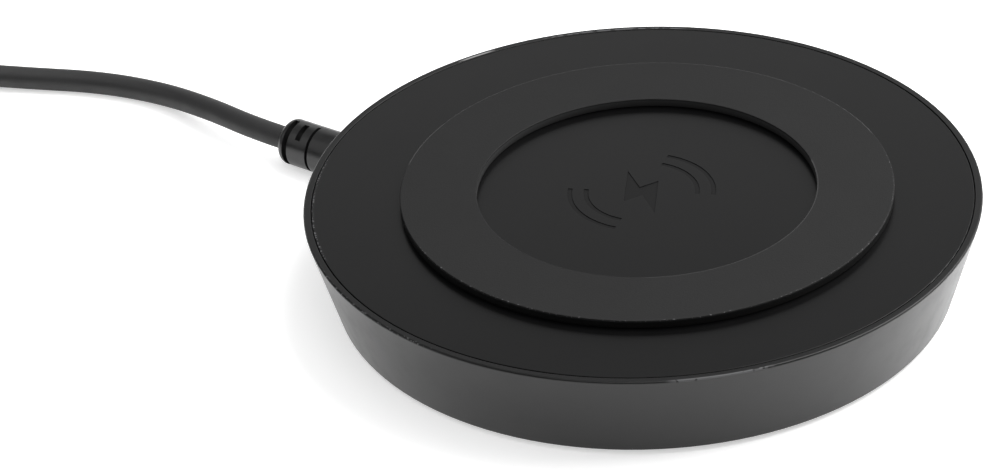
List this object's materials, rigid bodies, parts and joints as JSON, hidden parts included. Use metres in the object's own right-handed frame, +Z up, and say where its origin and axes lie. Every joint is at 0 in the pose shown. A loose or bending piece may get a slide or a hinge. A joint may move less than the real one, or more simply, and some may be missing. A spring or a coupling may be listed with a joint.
{
  "type": "wireless charging pad",
  "caption": "Round wireless charging pad with a tapered glossy wall, matte plate, raised grip ring and a fixed USB cord with its plug.",
  "frame": {"origin": "bottom centre of the disc, on the surface that it stands on", "axes": "+Z up, +Y towards the cord's exit through the wall"},
  "size_m": [0.1719, 0.2129, 0.0162],
  "materials": {
    "side_shell": "glossy piano finish",
    "top_plate": "soft-touch matte",
    "glue": "cured glue",
    "tape": "double-sided tape",
    "grip_ring": "matte silicone",
    "base_cover": "fine texture",
    "screw_steel": "zinc plated",
    "foot_rubber": "matte",
    "strain_relief": "satin",
    "cord_jacket": "satin thermoplastic",
    "inner_plastic": "moulded",
    "litz_copper": "enamelled litz wire",
    "ferrite": "sintered, matt",
    "board": "solder mask",
    "chip_epoxy": "moulded epoxy",
    "ceramic_capacitor": "ceramic",
    "crystal_can": "metal can",
    "solder": "bright",
    "wire_white": "insulated wire",
    "wire_red": "insulated wire",
    "wire_black": "insulated wire",
    "wire_green": "insulated wire",
    "cord_tie": "strap",
    "plug_overmould": "satin thermoplastic",
    "plug_steel": "nickel plated",
    "plug_tongue": "white insulator",
    "contact_gold": "gold plated"
  },
  "bodies": {
    "root": {"side_shell": "side_shell", "top_plate": "top_plate", "top_plate_glue": "glue", "grip_ring": "grip_ring", "grip_ring_tape": "tape", "base_cover": "base_cover", "base_screws": "screw_steel", "foot_ring": "foot_rubber", "strain_relief": "strain_relief", "cord_jacket_inner": "cord_jacket", "cord_clamp": "inner_plastic", "clamp_screws": "screw_steel", "transmitter_coil": "litz_copper", "coil_tape": "tape", "coil_lead_outer": "litz_copper", "coil_lead_inner": "litz_copper", "ferrite_shield": "ferrite", "ferrite_tape": "tape", "circuit_board": "board", "board_screws": "screw_steel", "controller_chip": "chip_epoxy", "power_mosfets": "chip_epoxy", "resonant_capacitors": "ceramic_capacitor", "power_inductor": "ferrite", "bulk_capacitors": "ceramic_capacitor", "clock_crystal": "crystal_can", "voltage_regulator": "chip_epoxy", "sense_resistor": "chip_epoxy", "small_resistors": "chip_epoxy", "small_capacitors": "ceramic_capacitor", "solder_joints": "solder", "conductor_white": "wire_white", "conductor_red": "wire_red", "conductor_black": "wire_black", "conductor_green": "wire_green", "cord_lead": "cord_jacket", "cord_coil": "cord_jacket", "cord_ties": "cord_tie", "cord_tail": "cord_jacket", "plug_overmould": "plug_overmould", "plug_shell": "plug_steel", "plug_tongue": "plug_tongue", "plug_contacts": "contact_gold"}
  },
  "joints": []
}
